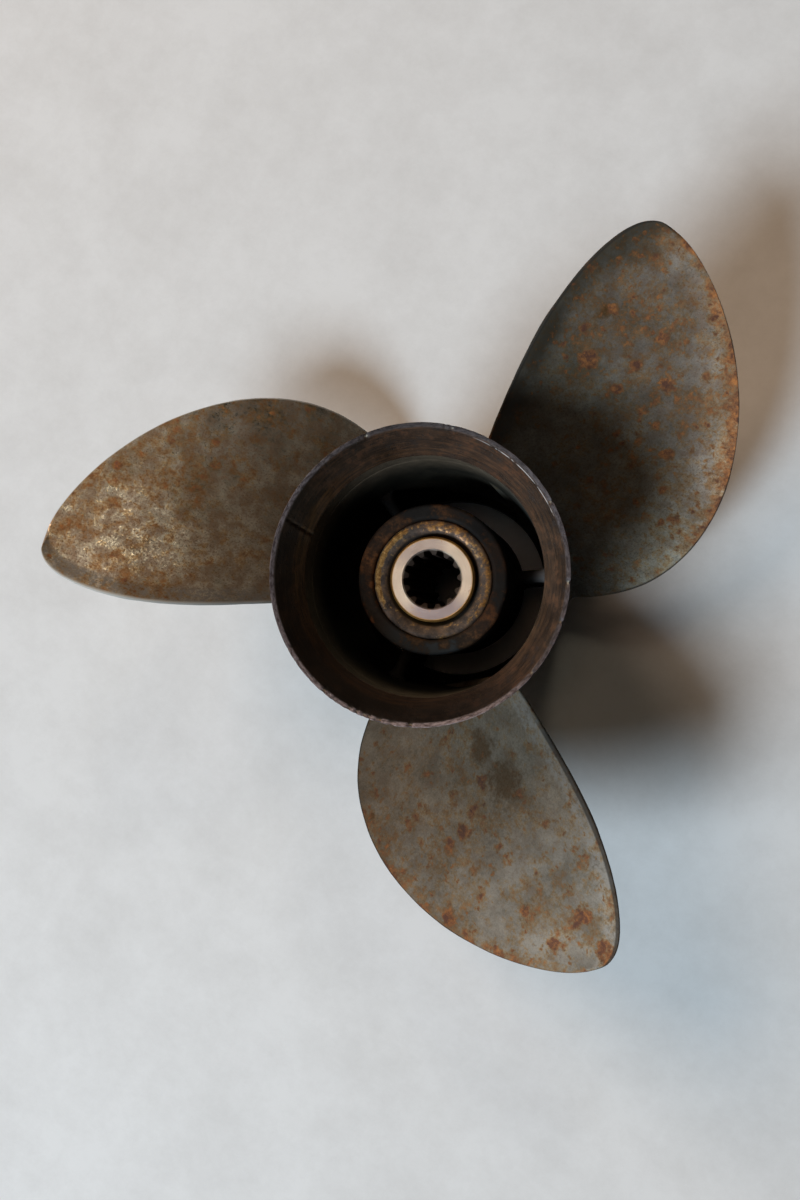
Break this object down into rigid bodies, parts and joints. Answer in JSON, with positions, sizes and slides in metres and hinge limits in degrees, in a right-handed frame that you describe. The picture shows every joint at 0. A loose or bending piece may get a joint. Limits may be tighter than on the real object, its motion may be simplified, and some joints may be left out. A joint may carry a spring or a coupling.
{
  "type": "through-hub exhaust boat propeller",
  "caption": "Used right-hand outboard propeller: skewed, lightly cupped blades on a flared exhaust barrel, with a ribbed inner hub, rubber bushing and splined drive sleeve.",
  "frame": {"origin": "on the shaft's axis, in the plane of the barrel's front end, which is what the propeller stands on", "axes": "+Z aft along the shaft, up as the propeller stands; +Y along the reference line of blade_1; X completes the right-handed frame"},
  "size_m": [0.3052, 0.3034, 0.13],
  "materials": {
    "sooted_steel": "stainless casting under brown soot and rust",
    "rust_speckled_steel": "dull grey-green stainless with orange rust freckles",
    "aged_rubber": "golden-brown, greasy and worn",
    "worn_bronze": "bright rubbed end faces, dull bore"
  },
  "bodies": {
    "root": {"barrel": "sooted_steel", "exhaust_flare": "sooted_steel", "inner_hub": "sooted_steel", "rib_1": "sooted_steel", "rib_2": "sooted_steel", "rib_3": "sooted_steel", "blade_1": "rust_speckled_steel", "blade_2": "rust_speckled_steel", "blade_3": "rust_speckled_steel", "rubber_bushing": "aged_rubber", "drive_sleeve": "worn_bronze"}
  },
  "joints": []
}
